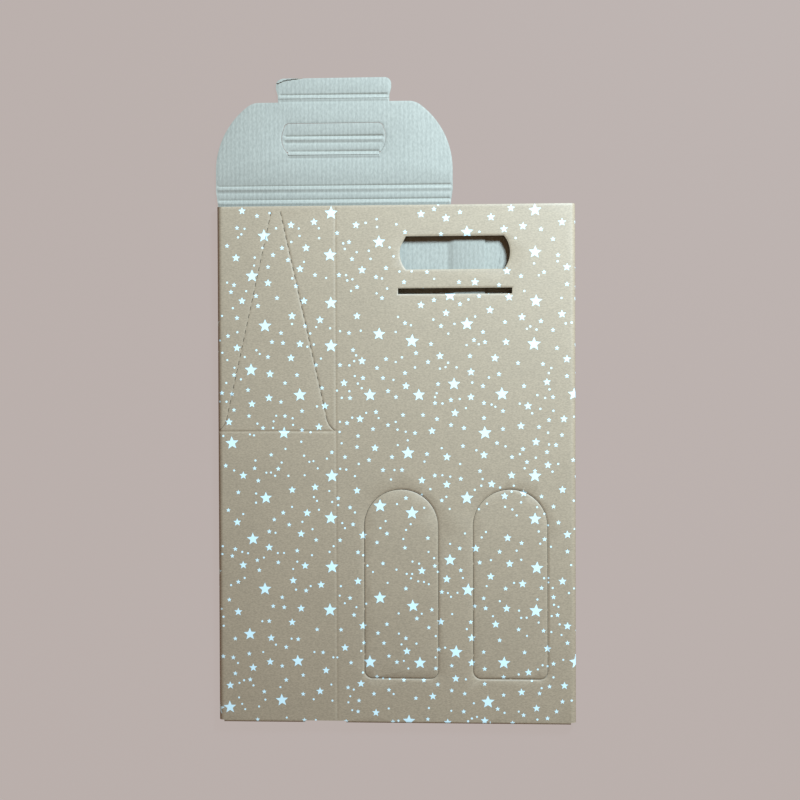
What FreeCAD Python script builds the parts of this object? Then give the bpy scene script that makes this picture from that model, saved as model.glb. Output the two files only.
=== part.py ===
"""A two-bottle carton of thin corrugated board, glued up and folded flat.

X runs across the folded tube, Y from its bottom edge to the lid's tab, and Z up
through its layers. The back panel lies lowest, with the lid beyond its top edge.
Outlines are drawn from the middle of the bottom edge, and every sub-part is then
moved by the same amount, which brings the origin to the middle of the whole.
"""
import FreeCAD, Part
import os
import re
import Sketcher
from FreeCAD import Placement, Rotation, Vector

SIZES = {
    # The board, the air between two plies and the width of a die cut.
    "board": 1.5,
    "ply_gap": 0.15,
    "kerf": 0.35,
    "hinge_gap": 0.2,
    # The tube of four panels and its glue lap.
    "front_width": 180,
    "side_width": 90,
    "tube_height": 389,
    "root_rise": 3,
    "lap_width": 22.5,
    "lap_gap": 0.5,
    "jog_run": 5,
    # A crease: a groove outside, a bead inside.
    "crease_width": 2.4,
    "crease_depth": 0.35,
    # The handle hole in the front and in the back.
    "handle_width": 82.7,
    "handle_height": 25,
    "handle_bulge": 4.6,
    "handle_drop": 23.5,
    # The slot that takes the lid's tab.
    "slot_width": 85.6,
    "slot_height": 4.5,
    "slot_drop": 62.5,
    # The two windows of the front, still held by their nicks.
    "window_width": 56,
    "window_height": 143.1,
    "window_base": 32.3,
    "window_spacing": 82,
    "window_corner": 6,
    "window_sink": 0.2,
    "nick_width": 1.4,
    "nick_thickness": 0.6,
    # The gusset of each side panel: one crease and two dashed cuts.
    "gusset_height": 219,
    "dash_length": 3.1,
    "dash_step": 6.05,
    "dash_width": 0.4,
    "dash_count": 26,
    "dash_top_gap": 7,
    "dash_top_drop": 4.5,
    "dash_foot_gap": 74.2,
    "dash_foot_rise": 13.9,
    # The bottom flaps, folded up inside the tube.
    "main_flap_depth": 58,
    "side_flap_depth": 43,
    "flap_inset": 2,
    "flap_taper": 40,
    # The lid beyond the back panel.
    "spine_length": 10.5,
    "lid_width": 180,
    "lid_overhang": 1.5,
    "lid_depth": 65.8,
    "corner_large": 61,
    "corner_small": 14.7,
    "corner_turn": 52.9,
    "neck_width": 84.6,
    "neck_length": 3.8,
    "tab_width": 87.6,
    "tab_length": 14.3,
    "tab_corner": 5,
    # The hand grip cut in the lid.
    "grip_rise": 27,
    "grip_root_width": 69.4,
    "grip_height": 22.6,
    "grip_bulge": 4.7,
    "bridge_length": 11.6,
}

# Lengths that follow from the sizes, each a formula of the names above it.
DERIVED = {
    "stack": "5 * board + 3 * ply_gap",
    "upper_under": "stack - board",
    "fold_radius": "stack / 2",
    "half_tube": "(front_width + side_width) / 2",
    "fold_line": "half_tube - fold_radius",
    "seam": "half_tube - side_width",
    "jog_start": "seam - jog_run",
    "crease_half": "crease_width / 2",
    "crease_radius": "(crease_half^2 + crease_depth^2) / (2 * crease_depth)",
    "crease_lift": "crease_radius - crease_depth",
    "front_middle": "half_tube - front_width / 2",
    "back_middle": "front_width / 2 - half_tube",
    "lid_middle": "lid_width / 2 - half_tube - lid_overhang",
    "nose": "board / 2",
    "hinge_reach": "nose + hinge_gap",
    "root": "tube_height + root_rise",
    "lid_crease": "root + spine_length",
    "shoulder": "lid_crease + lid_depth",
    "tab_crease": "shoulder + neck_length",
    "tab_end": "tab_crease + tab_length",
    "grip_root": "lid_crease + grip_rise",
    "grip_crease": "grip_root + bridge_length",
    "grip_end": "grip_root + grip_height",
    "turn_radius": "board + ply_gap / 2",
    "middle": "(tab_end - turn_radius) / 2",
}


def expression(text):
    """Write a formula out in full, with the sheet's name before each size."""
    def swap(match):
        word = match.group(0)
        if word in SIZES:
            return "Sizes." + word
        if word in DERIVED:
            return "(" + expression(DERIVED[word]) + ")"
        return word
    return re.sub(r"[a-z_]+", swap, str(text))


def make_sheet(document):
    sheet = document.addObject("Spreadsheet::Sheet", "Sizes")
    for row, (alias, value) in enumerate(SIZES.items(), start=1):
        sheet.set(f"A{row}", alias)
        sheet.set(f"B{row}", str(value))
        sheet.setAlias(f"B{row}", alias)
    document.recompute()


class Round:
    """The centre of an arc between two corners of an outline, and the way it turns."""

    def __init__(self, x, y, left=True):
        self.x = x
        self.y = y
        self.left = left


def arc(start, end, centre, left):
    """The arc from start to end about centre, as a circle's arc or its reverse."""
    first, last = (start, end) if left else (end, start)
    circle = Part.Circle(centre, Vector(0, 0, 1), (start - centre).Length)
    return Part.ArcOfCircle(circle, circle.parameter(first), circle.parameter(last))


class Piece:
    """One sub-part: a body with the helpers that draw, add and cut."""

    def __init__(self, document, label):
        self.document = document
        self.body = document.addObject("PartDesign::Body", label)
        self.body.Label = label
        self.body.setExpression("Placement.Base.x", expression("lid_overhang / 2"))
        self.body.setExpression("Placement.Base.y", expression("-middle"))

    def value(self, formula):
        return float(self.body.evalExpression(expression(formula)))

    def sketch(self, name, role, level="0", at=("0", "0"), turn=None):
        """A sketch on one of the body's planes, raised along that plane's normal."""
        sketch = self.body.newObject("Sketcher::SketchObject", name)
        plane = [item for item in self.body.Origin.OriginFeatures if item.Role == role][0]
        sketch.AttachmentSupport = (plane, [""])
        sketch.MapMode = "FlatFace"
        if turn:
            axis, degrees = turn
            sketch.AttachmentOffset = Placement(Vector(), Rotation(axis, degrees))
        for letter, formula in zip("xyz", (at[0], at[1], level)):
            sketch.setExpression(f"AttachmentOffset.Base.{letter}", expression(formula))
        return sketch

    def hold(self, sketch, kind, edge, place, formula):
        """Dimension one point of an edge from the sketch's origin."""
        rule = Sketcher.Constraint(kind, -1, 1, edge, place, self.value(formula))
        number = sketch.addConstraint(rule)
        sketch.setExpression(f"Constraints[{number}]", expression(formula))

    def outline(self, sketch, path):
        """Draw a closed outline and dimension all its corners and arc centres."""
        corners = [item for item in path if not isinstance(item, Round)]
        rounds = {}
        for number, item in enumerate(path):
            if isinstance(item, Round):
                rounds[number - len(rounds) - 1] = item
        points = [Vector(self.value(x), self.value(y), 0) for x, y in corners]
        base = sketch.GeometryCount
        ends = []
        for number, start in enumerate(points):
            end = points[(number + 1) % len(points)]
            bend = rounds.get(number)
            if bend is None:
                sketch.addGeometry(Part.LineSegment(start, end))
                ends.append((1, 2))
                continue
            centre = Vector(self.value(bend.x), self.value(bend.y), 0)
            sketch.addGeometry(arc(start, end, centre, bend.left))
            ends.append((1, 2) if bend.left else (2, 1))
        for number, (x, y) in enumerate(corners):
            edge = base + number
            follower = (number + 1) % len(corners)
            sketch.addConstraint(Sketcher.Constraint(
                "Coincident", edge, ends[number][1], base + follower, ends[follower][0]))
            self.hold(sketch, "DistanceX", edge, ends[number][0], x)
            self.hold(sketch, "DistanceY", edge, ends[number][0], y)
        for number, bend in rounds.items():
            chord = points[(number + 1) % len(points)] - points[number]
            upright = abs(chord.y) > abs(chord.x)
            kind, formula = ("DistanceX", bend.x) if upright else ("DistanceY", bend.y)
            self.hold(sketch, kind, base + number, 3, formula)

    def add(self, name, sketch, length, reverse=False):
        feature = self.body.newObject("PartDesign::Pad", name)
        feature.Profile = sketch
        feature.Reversed = reverse
        feature.setExpression("Length", expression(length))
        return feature

    def cut(self, name, sketch, length):
        """Cut from the sketch's plane against its normal."""
        feature = self.body.newObject("PartDesign::Pocket", name)
        feature.Profile = sketch
        feature.setExpression("Length", expression(length))
        return feature

    def plate(self, name, path, level="0", thickness="board"):
        sketch = self.sketch(name + "_outline", "XY_Plane", level)
        self.outline(sketch, path)
        return self.add(name, sketch, thickness)

    def rod(self, name, path, start, end):
        """A section drawn in Y and Z, run along X from start to end."""
        sketch = self.sketch(name + "_section", "YZ_Plane", start)
        self.outline(sketch, path)
        return self.add(name, sketch, f"{end} - ({start})")

    def rounded_edge(self, name, line, start, end):
        """The full-round edge that a hinged neighbour turns about."""
        back = f"{line} - board"
        self.rod(name, [(back, "0"), (line, "0"), Round(line, "nose"), (line, "board"),
                        (back, "board")], start, end)


def rectangle(left, low, right, high):
    return [(left, low), (right, low), (right, high), (left, high)]


def lens(middle, low, high, half, bulge, spare="0"):
    """A level slot whose two ends bulge outwards, as wide as half each way at its corners."""
    side = f"({high} - ({low})) / 2"
    radius = f"((({side})^2 + {bulge}^2) / (2 * {bulge}))"
    shift = f"({half} + {spare} + {bulge} - {radius})"
    level = f"(({low} + {high}) / 2)"
    right = f"{middle} + {half} + {spare}"
    left = f"{middle} - ({half}) - {spare}"
    return [(left, low), (right, low), Round(f"{middle} + {shift}", level),
            (right, high), (left, high), Round(f"{middle} - {shift}", level)]


def tube_section():
    """The four panels in section, with both side folds, the lap and one crease."""
    groove = "front_middle - front_width / 2"
    outer = [
        ("-fold_line", "0"), ("jog_start", "0"), ("seam", "board"),
        ("seam + lap_gap", "board"), ("seam + lap_gap", "0"), ("fold_line", "0"),
        Round("fold_line", "fold_radius"), ("fold_line", "stack"),
        (f"{groove} + crease_half", "stack"),
        Round(groove, "stack + crease_lift", left=False),
        (f"{groove} - crease_half", "stack"), ("-fold_line", "stack"),
        Round("-fold_line", "fold_radius"),
    ]
    inner = [
        ("-fold_line", "board"), ("jog_start", "board"), ("seam", "2 * board"),
        ("seam + lap_width", "2 * board"), ("seam + lap_width", "board"),
        ("fold_line", "board"), Round("fold_line", "fold_radius"),
        ("fold_line", "upper_under"), (f"{groove} + crease_half", "upper_under"),
        Round(groove, "upper_under + crease_lift", left=False),
        (f"{groove} - crease_half", "upper_under"), ("-fold_line", "upper_under"),
        Round("-fold_line", "fold_radius"),
    ]
    return outer, inner


def make_tube(piece):
    sketch = piece.sketch("tube_section", "XZ_Plane")
    for path in tube_section():
        piece.outline(sketch, path)
    piece.add("tube", sketch, "tube_height", reverse=True)
    piece.plate("root_strip", rectangle("-fold_line", "tube_height - board", "jog_start", "root"))
    piece.rounded_edge("root_edge", "root", "-fold_line", "jog_start")


def turned_edge(centre, outward, turn_left):
    """Two plies joined by a half turn, in section: outward is the side it bulges to."""
    back = f"{-outward} * board"
    edge = "ply_gap / 2"
    return [
        (back, f"{centre} + turn_radius"), ("0", f"{centre} + turn_radius"),
        Round("0", centre, turn_left), ("0", f"{centre} - turn_radius"),
        (back, f"{centre} - turn_radius"), (back, f"{centre} - {edge}"),
        ("0", f"{centre} - {edge}"), Round("0", centre, not turn_left),
        ("0", f"{centre} + {edge}"), (back, f"{centre} + {edge}"),
    ]


def make_flap_pair(piece, name, side):
    """One main flap and the side flap glued to it, at the left (-1) or right (1) fold."""
    low = "board + ply_gap"
    high = "stack - 2 * board - ply_gap"
    low_turn = "board + ply_gap / 2"
    high_turn = "stack - board - ply_gap / 2"
    main_level, main_turn = (low, low_turn) if side < 0 else (high, high_turn)
    side_level, side_turn = (high, high_turn) if side < 0 else (low, low_turn)
    glued_level = "2 * board + ply_gap" if side < 0 else "stack - 3 * board - ply_gap"
    glued_turn = "3 * board + 1.5 * ply_gap" if side < 0 else "stack - 3 * board - 1.5 * ply_gap"

    fold = f"{side} * fold_line"
    main_end = f"{-side} * (jog_start - flap_inset)"
    side_end = f"{side} * (seam + lap_width + flap_inset)"

    for flap, centre, end in (("main", main_turn, main_end), ("side", side_turn, side_end)):
        ends = (fold, end) if piece.value(fold) < piece.value(end) else (end, fold)
        piece.rod(f"{name}_{flap}_turn", turned_edge(centre, -1, True), *ends)

    main = [(fold, "0"), (main_end, "0"),
            (f"{main_end} + {side} * flap_taper", "main_flap_depth"),
            (f"{fold} - {side} * 4 * flap_inset", "main_flap_depth"),
            (fold, "main_flap_depth - 4 * flap_inset")]
    piece.plate(f"{name}_main_flap", main, main_level)

    foot = f"{fold} - {side} * flap_inset"
    tip = f"{fold} - {side} * side_flap_depth"
    piece.plate(f"{name}_side_flap",
                [(fold, "0"), (side_end, "0"),
                 (f"{side_end} + {side} * flap_inset", "side_flap_depth"),
                 (tip, "side_flap_depth")], side_level)
    piece.plate(f"{name}_glued_corner",
                [(foot, "flap_inset"), (tip, "flap_inset"), (tip, "side_flap_depth")],
                glued_level)
    sketch = piece.sketch(f"{name}_corner_turn_section", "XZ_Plane", "-flap_inset",
                          at=(foot, "0"), turn=(Vector(0, 1, 0), 45 * side))
    piece.outline(sketch, turned_edge(glued_turn, side, side < 0))
    piece.add(f"{name}_corner_turn", sketch, "(side_flap_depth - flap_inset) * sqrt(2)",
              reverse=True)


def make_windows(piece):
    """Two arched windows in the front, cut round but held by nicks, a little sunk."""
    def arch(centre, inset):
        half = f"(window_width / 2 - {inset})"
        low = f"window_base + {inset}"
        spring = "window_base + window_height - window_width / 2"
        turn = f"(window_corner - {inset})"
        return [
            (f"{centre} - {half}", f"{low} + {turn}"),
            Round(f"{centre} - {half} + {turn}", f"{low} + {turn}"),
            (f"{centre} - {half} + {turn}", low), (f"{centre} + {half} - {turn}", low),
            Round(f"{centre} + {half} - {turn}", f"{low} + {turn}"),
            (f"{centre} + {half}", f"{low} + {turn}"), (f"{centre} + {half}", spring),
            Round(centre, spring), (f"{centre} - {half}", spring),
        ]

    centres = [f"front_middle - window_spacing / 2", f"front_middle + window_spacing / 2"]
    cuts = piece.sketch("window_cut_outline", "XY_Plane", "stack")
    for centre in centres:
        piece.outline(cuts, arch(centre, "0"))
    piece.cut("window_cut", cuts, "board + ply_gap")

    nicks = piece.sketch("nick_outline", "XY_Plane", "stack - window_sink - nick_thickness")
    reach = "(2 * kerf)"
    top = "window_base + window_height"
    for centre in centres:
        for edge in (f"{centre} - window_width / 2", f"{centre} + window_width / 2"):
            for share in (0.15, 0.45, 0.75):
                level = f"window_base + {share} * window_height"
                piece.outline(nicks, rectangle(
                    f"{edge} - {reach}", f"{level} - nick_width / 2",
                    f"{edge} + {reach}", f"{level} + nick_width / 2"))
        for edge in ("window_base", top):
            piece.outline(nicks, rectangle(
                f"{centre} - nick_width / 2", f"{edge} - {reach}",
                f"{centre} + nick_width / 2", f"{edge} + {reach}"))
    piece.add("nicks", nicks, "nick_thickness")

    panes = piece.sketch("pane_outline", "XY_Plane", "upper_under - window_sink")
    for centre in centres:
        piece.outline(panes, arch(centre, "kerf"))
    piece.add("panes", panes, "board")


def make_openings(piece):
    """The handle holes of front and back, and the front's slot for the tab."""
    high = "tube_height - handle_drop"
    half = "(handle_width / 2 - handle_bulge)"
    for name, middle, level in (("front_handle", "front_middle", "stack"),
                                ("back_handle", "back_middle", "board")):
        sketch = piece.sketch(name + "_outline", "XY_Plane", level)
        piece.outline(sketch, lens(middle, f"{high} - handle_height", high, half,
                                   "handle_bulge"))
        piece.cut(name, sketch, "board + ply_gap / 2")
    slot = piece.sketch("tab_slot_outline", "XY_Plane", "stack")
    piece.outline(slot, rectangle(
        "front_middle - slot_width / 2", "tube_height - slot_drop - slot_height",
        "front_middle + slot_width / 2", "tube_height - slot_drop"))
    piece.cut("tab_slot", slot, "board + ply_gap / 2")


def make_gusset(piece, name, side):
    """One side panel's level crease and the two dashed lines that rise from it."""
    upper = side < 0
    outside = "stack" if upper else "0"
    inside = "upper_under" if upper else "board"
    sign = 1 if upper else -1
    near, far = ("-fold_line", "-seam") if upper else ("seam + lap_width + ply_gap", "fold_line")
    for part, face, act in (("groove", outside, "cut"), ("bead", inside, "add")):
        low = "gusset_height - crease_half"
        high = "gusset_height + crease_half"
        path = [(high, face), (low, face),
                Round("gusset_height", f"{face} + {sign} * crease_lift", left=upper)]
        sketch = piece.sketch(f"{name}_{part}_section", "YZ_Plane",
                              near if act == "add" else far)
        piece.outline(sketch, path)
        feature = piece.add if act == "add" else piece.cut
        feature(f"{name}_{part}", sketch, f"{far} - ({near})")

    middle = f"{side} * (half_tube - side_width / 2)"
    rise = "(tube_height - dash_top_drop - gusset_height - dash_foot_rise)"
    run = "((dash_foot_gap - dash_top_gap) / 2)"
    for lean, word in ((-1, "left"), (1, "right")):
        level = "stack" if upper else "board"
        sketch = piece.sketch(f"{name}_{word}_dash_outline", "XY_Plane", level,
                              at=(f"{middle} + {lean} * dash_top_gap / 2",
                                  "tube_height - dash_top_drop"))
        sketch.setExpression("AttachmentOffset.Rotation.Angle",
                             expression(f"{lean} * atan({run} / {rise})"))
        piece.outline(sketch, rectangle("-dash_width / 2", "-dash_length",
                                        "dash_width / 2", "0"))
        dash = piece.cut(f"{name}_{word}_dash", sketch, "board + ply_gap / 2")
        row = piece.body.newObject("PartDesign::LinearPattern", f"{name}_{word}_dashes")
        row.Originals = [dash]
        row.Direction = (sketch, ["V_Axis"])
        row.Reversed = True
        row.setExpression("Occurrences", expression("dash_count"))
        row.setExpression("Length", expression("dash_step * (dash_count - 1)"))
        piece.body.Tip = row


def make_carton(document):
    piece = Piece(document, "carton")
    sides = (("left", -1), ("right", 1))
    make_tube(piece)
    make_openings(piece)
    for name, side in sides:
        make_flap_pair(piece, name, side)
    make_windows(piece)
    for name, side in sides:
        make_gusset(piece, name, side)


def make_lid_spine(document):
    piece = Piece(document, "lid_spine")
    left = "lid_middle - lid_width / 2"
    right = "lid_middle + lid_width / 2"
    piece.plate("spine", rectangle(left, "root + hinge_reach", right, "lid_crease"))
    piece.rounded_edge("spine_edge", "lid_crease", left, right)


def lid_outline():
    """The lid panel: square at its root, each outer corner two arcs that meet smoothly."""
    corner_y = "(corner_small + (corner_large - corner_small) * sin(corner_turn))"
    corner_x = "(corner_large - (corner_large - corner_small) * cos(corner_turn))"
    path = []
    for side in (1, -1):
        edge = f"lid_middle + {side} * lid_width / 2"
        neck = f"lid_middle + {side} * neck_width / 2"
        large_x = f"{edge} - {side} * corner_large"
        large_y = f"shoulder - {corner_y}"
        half = [
            (edge, "lid_crease + hinge_reach"), (edge, large_y), Round(large_x, large_y),
            (f"{large_x} + {side} * corner_large * cos(corner_turn)",
             f"{large_y} + corner_large * sin(corner_turn)"),
            Round(f"{edge} - {side} * {corner_x}", "shoulder - corner_small"),
            (f"{edge} - {side} * {corner_x}", "shoulder"), (neck, "shoulder"),
            (neck, "tab_crease"),
        ]
        path += half if side > 0 else half[::-1]
    return path


def make_lid_panel(document):
    piece = Piece(document, "lid_panel")
    piece.plate("panel", lid_outline())
    piece.rounded_edge("tab_edge", "tab_crease", "lid_middle - neck_width / 2",
                       "lid_middle + neck_width / 2")
    half = "(grip_root_width / 2)"
    sketch = piece.sketch("grip_cut_outline", "XY_Plane", "board")
    piece.outline(sketch, lens("lid_middle", "grip_root", "grip_end + kerf", half,
                               "grip_bulge", "kerf"))
    piece.cut("grip_cut", sketch, "2 * board")
    piece.rounded_edge("grip_edge", "grip_root", f"lid_middle - {half}",
                       f"lid_middle + {half}")


def make_tuck_tab(document):
    piece = Piece(document, "tuck_tab")
    root = "tab_crease + hinge_reach"
    path = []
    for side in (1, -1):
        edge = f"lid_middle + {side} * tab_width / 2"
        inner = f"{edge} - {side} * tab_corner"
        half = [(f"lid_middle + {side} * neck_width / 2", root),
                (edge, f"{root} + tab_corner"), (edge, "tab_end - tab_corner"),
                Round(inner, "tab_end - tab_corner"), (inner, "tab_end")]
        path += half if side > 0 else half[::-1]
    piece.plate("tab", path)


def grip_half_width(line):
    """Half the grip's width on one level line between its root and its outer edge."""
    radius = "(((grip_height / 2)^2 + grip_bulge^2) / (2 * grip_bulge))"
    offset = f"({line} - grip_root - grip_height / 2)"
    return (f"(grip_root_width / 2 + grip_bulge - {radius}"
            f" + sqrt({radius}^2 - {offset}^2))")


def grip_strip(low, high):
    """The stretch of the grip's outline between two level lines."""
    radius = "(((grip_height / 2)^2 + grip_bulge^2) / (2 * grip_bulge))"
    shift = f"(grip_root_width / 2 + grip_bulge - {radius})"
    level = "grip_root + grip_height / 2"
    return [
        (f"lid_middle - {grip_half_width(low)}", low),
        (f"lid_middle + {grip_half_width(low)}", low),
        Round(f"lid_middle + {shift}", level),
        (f"lid_middle + {grip_half_width(high)}", high),
        (f"lid_middle - {grip_half_width(high)}", high),
        Round(f"lid_middle - {shift}", level),
    ]


def make_grip(document):
    bridge = Piece(document, "grip_bridge")
    bridge.plate("bridge", grip_strip("(grip_root + hinge_reach)", "grip_crease"))
    half = grip_half_width("(grip_crease - board)")
    bridge.rounded_edge("bridge_edge", "grip_crease", f"lid_middle - {half}",
                        f"lid_middle + {half}")
    tip = Piece(document, "grip_tip")
    tip.plate("tip", grip_strip("(grip_crease + hinge_reach)", "grip_end"))


def check(document):
    """Stop if a feature failed, a cut removed nothing or a body is not one sound solid."""
    for item in document.Objects:
        if "Invalid" in item.State or "Error" in item.State:
            raise RuntimeError(f"{item.Name} failed: {item.State}")
        if item.TypeId == "PartDesign::Pocket":
            if item.Shape.Volume > item.BaseFeature.Shape.Volume - 1e-3:
                raise RuntimeError(f"{item.Name} cuts nothing")
    for body in document.findObjects("PartDesign::Body"):
        shape = body.Shape
        if shape.isNull() or not shape.isValid() or len(shape.Solids) != 1:
            raise RuntimeError(f"{body.Label} is not one sound solid")


def export(document):
    os.makedirs("parts", exist_ok=True)
    for body in document.findObjects("PartDesign::Body"):
        body.Shape.exportStep(f"parts/{body.Label}.step")


def main():
    document = FreeCAD.newDocument("bottle_carton")
    make_sheet(document)
    make_carton(document)
    make_lid_spine(document)
    make_lid_panel(document)
    make_tuck_tab(document)
    make_grip(document)
    document.recompute()
    check(document)
    export(document)


main()
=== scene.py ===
"""The look of a two-bottle carton, glued up and folded flat: printed fluted board.

The board is drawn as a flat sheet in millimetres, cut into triangles along its cuts,
creases and printed stars, and then folded into place around the frame's solids.
"""
import math
import random

import bpy
import numpy as np
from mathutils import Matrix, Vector
from mathutils.geometry import delaunay_2d_cdt


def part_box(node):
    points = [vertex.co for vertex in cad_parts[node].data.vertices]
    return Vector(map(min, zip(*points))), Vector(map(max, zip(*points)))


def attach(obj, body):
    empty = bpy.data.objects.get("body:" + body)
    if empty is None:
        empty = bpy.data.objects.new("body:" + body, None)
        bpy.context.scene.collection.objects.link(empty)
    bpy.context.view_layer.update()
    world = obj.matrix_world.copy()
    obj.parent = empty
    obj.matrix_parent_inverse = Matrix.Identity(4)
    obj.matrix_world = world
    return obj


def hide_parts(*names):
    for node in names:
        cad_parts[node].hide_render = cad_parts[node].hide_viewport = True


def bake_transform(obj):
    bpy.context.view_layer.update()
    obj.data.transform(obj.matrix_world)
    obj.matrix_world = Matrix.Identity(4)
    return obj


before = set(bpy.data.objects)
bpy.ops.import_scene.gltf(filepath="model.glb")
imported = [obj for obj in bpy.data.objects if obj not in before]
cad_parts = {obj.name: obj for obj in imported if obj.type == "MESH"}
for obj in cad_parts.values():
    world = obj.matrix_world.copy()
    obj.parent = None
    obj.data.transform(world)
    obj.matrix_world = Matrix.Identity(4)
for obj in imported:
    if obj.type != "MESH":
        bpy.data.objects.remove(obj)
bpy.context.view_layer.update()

MM = 0.001

# The board and the heights of its layers, in millimetres, as in the solids.
BOARD = 1.5
PLY_GAP = 0.15
LINER = 0.22
MEDIUM = 0.18
FLUTE = 3.3
CUT = 0.26
STACK = 5 * BOARD + 3 * PLY_GAP
FOLD_RADIUS = STACK / 2
TURN = (BOARD + PLY_GAP) / 2
HALF_TURN = math.pi * TURN

# The outline of the tube and of the lid, in millimetres from the middle of the tube's foot.
FRONT = 180
SIDE = 90
TUBE = 389
ROOT = TUBE + 3
HALF_TUBE = (FRONT + SIDE) / 2
FRONT_MIDDLE = HALF_TUBE - FRONT / 2
SIDE_MIDDLE = HALF_TUBE - SIDE / 2
FOLD_LINE = HALF_TUBE - FOLD_RADIUS
SEAM = HALF_TUBE - SIDE
SEAM_GAP = 0.5
JOG = 5
LAP = 22.5
LID_WIDTH = 180
LID_OVERHANG = 1.5
LID_MIDDLE = LID_WIDTH / 2 - HALF_TUBE - LID_OVERHANG
LID_CREASE = ROOT + 10.5
SHOULDER = LID_CREASE + 65.8
CORNER_LARGE = 61
CORNER_SMALL = 14.7
CORNER_TURN = 52.9
NECK_HALF = 42.3
TAB_CREASE = SHOULDER + 3.8
TAB_END = TAB_CREASE + 14.3
TAB_HALF = 43.8
TAB_CORNER = 5
GRIP_HALF = 34.7
GRIP_BULGE = 4.7
GRIP_BRIDGE = 11.6
GRIP_HEIGHT = 22.6
GRIP_CORNER = 4
GRIP_ROOT = LID_CREASE + 27
GRIP_CREASE = GRIP_ROOT + GRIP_BRIDGE
GRIP_END = GRIP_ROOT + GRIP_HEIGHT
CREASE_HALF = 1.2
SPINE_TAPER = 1.7

# The front's hand hole, slot and windows, and the gussets and bottom flaps.
HOLE_LOW, HOLE_HIGH = 340.5, 365.5
HOLE_HALF = 36.75
HOLE_BULGE = 4.6
HOLE_CHAMFER = 6.5
SLOT_LEFT, SLOT_RIGHT = 2.2, 87.8
SLOT_LOW, SLOT_HIGH = 322, 326.5
WINDOW_MIDDLES = (4, 86)
WINDOW_HALF = 28
WINDOW_LOW = 32.3
WINDOW_TALL = 143.1
WINDOW_TOP = WINDOW_LOW + WINDOW_TALL
WINDOW_CORNER = 6
WINDOW_SINK = 0.2
ARCH_SINK = 0.4
ARCH_DIP = 50
NICK = 1.4
GUSSET = 219
DASHES_TOP = TUBE - 4.5
DASHES_RISE = DASHES_TOP - GUSSET - 13.9
DASH_TOP_HALF = 3.5
DASHES_RUN = (74.2 - 7) / 2
DASH = 3.1
DASH_STEP = 6.05
DASH_COUNT = 26
SIDE_FLAP = 43
SIDE_FLAP_ROOT, SIDE_FLAP_TIP, SIDE_FLAP_CORNER = 69.5, 71.5, 88
MAIN_FLAP = 58
MAIN_FLAP_ROOT, MAIN_FLAP_TIP = 38, 2
FLAP_CUT = 8
GLUED_CORNER = [(2.83, 0), (60.8, 0), (31.8, 29)]

# How finely the open folds at the sides and the turned foot are drawn.
FOLD_STEPS = 12
TURN_STEPS = 8

# The frame puts the middle of the whole part at its origin.
LOW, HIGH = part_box("carton")
ORIGIN = Vector(((LOW[0] + HIGH[0]) / 2, LOW[1] + (BOARD + PLY_GAP / 2) * MM, LOW[2]))

# Distances along the sheet's middle, from the side panel's glued edge round to the lap.
ARC = math.pi * (FOLD_RADIUS - BOARD / 2)
S_RIGHT = FOLD_LINE - SEAM - SEAM_GAP
S_TOP = S_RIGHT + ARC
S_LEFT = S_TOP + 2 * FOLD_LINE
S_BACK = S_LEFT + ARC
S_JOG = S_BACK + FOLD_LINE + SEAM - JOG
S_LAP = S_JOG + JOG
S_END = S_LAP + LAP


def top_s(x):
    """Where on the sheet the upper layer's place x lies."""
    return S_TOP + FOLD_LINE - x


def back_s(x):
    """Where on the sheet the back panel's place x lies."""
    return S_BACK + FOLD_LINE + x


def right_s(x):
    """Where on the sheet the right side panel's place x lies."""
    return x - SEAM - SEAM_GAP


def turned(v, w):
    """A ply that runs to v = 0 and turns back under itself: how far along, how far out."""
    angle = np.clip(-v / TURN, 0, math.pi)
    along = np.where(v >= 0, v, np.where(v > -HALF_TURN, -(TURN + w) * np.sin(angle),
                                         -v - HALF_TURN))
    out = np.where(v >= 0, w, -TURN + (TURN + w) * np.cos(angle))
    return along, out


def tube_place(s, v, w):
    """Fold the sheet into the flat tube. w is measured towards the printed side."""
    along, out = turned(v, w)
    x = np.zeros_like(s)
    z = np.zeros_like(s)
    mid = FOLD_RADIUS - BOARD / 2
    for start, end, side in ((0, S_RIGHT, "right"), (S_RIGHT, S_TOP, "fold"),
                             (S_TOP, S_LEFT, "top"), (S_LEFT, S_BACK, "fold_left"),
                             (S_BACK, S_JOG, "back"), (S_JOG, S_LAP, "ramp"),
                             (S_LAP, S_END + 1, "lap")):
        part = (s >= start) & (s < end) if start else (s < end)
        d = s[part] - start
        o = out[part]
        if side == "right":
            x[part], z[part] = SEAM + SEAM_GAP + d, BOARD / 2 - o
        elif side == "top":
            x[part], z[part] = FOLD_LINE - d, STACK - BOARD / 2 + o
        elif side == "back":
            x[part], z[part] = d - FOLD_LINE, BOARD / 2 - o
        elif side == "ramp":
            x[part], z[part] = SEAM - JOG + d, BOARD / 2 + BOARD * d / JOG - o
        elif side == "lap":
            x[part], z[part] = SEAM + d, 1.5 * BOARD - o
        else:
            sign = 1 if side == "fold" else -1
            angle = d / mid - math.pi / 2
            x[part] = sign * (FOLD_LINE + (mid + o) * np.cos(angle))
            z[part] = FOLD_RADIUS + sign * (mid + o) * np.sin(angle)
    return x, along, z


def lid_place(s, v, w):
    """The lid lies flat, printed side down."""
    return s, v, BOARD / 2 - w


def corner_place(side):
    """The glued corner of a side flap, folded over along its diagonal crease."""
    def place(a, q, w):
        along, out = turned(-q, -w)
        x = side * (FOLD_LINE - (a + along) / math.sqrt(2))
        y = (a - along) / math.sqrt(2)
        level = BOARD / 2 + 2 * TURN if side > 0 else STACK - BOARD / 2 - 2 * TURN
        return x, y, level - side * out
    return place


def bump(d, width):
    """A smooth bump of height one, at distances d from its middle."""
    return np.exp(-(d / width) ** 2)


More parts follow.
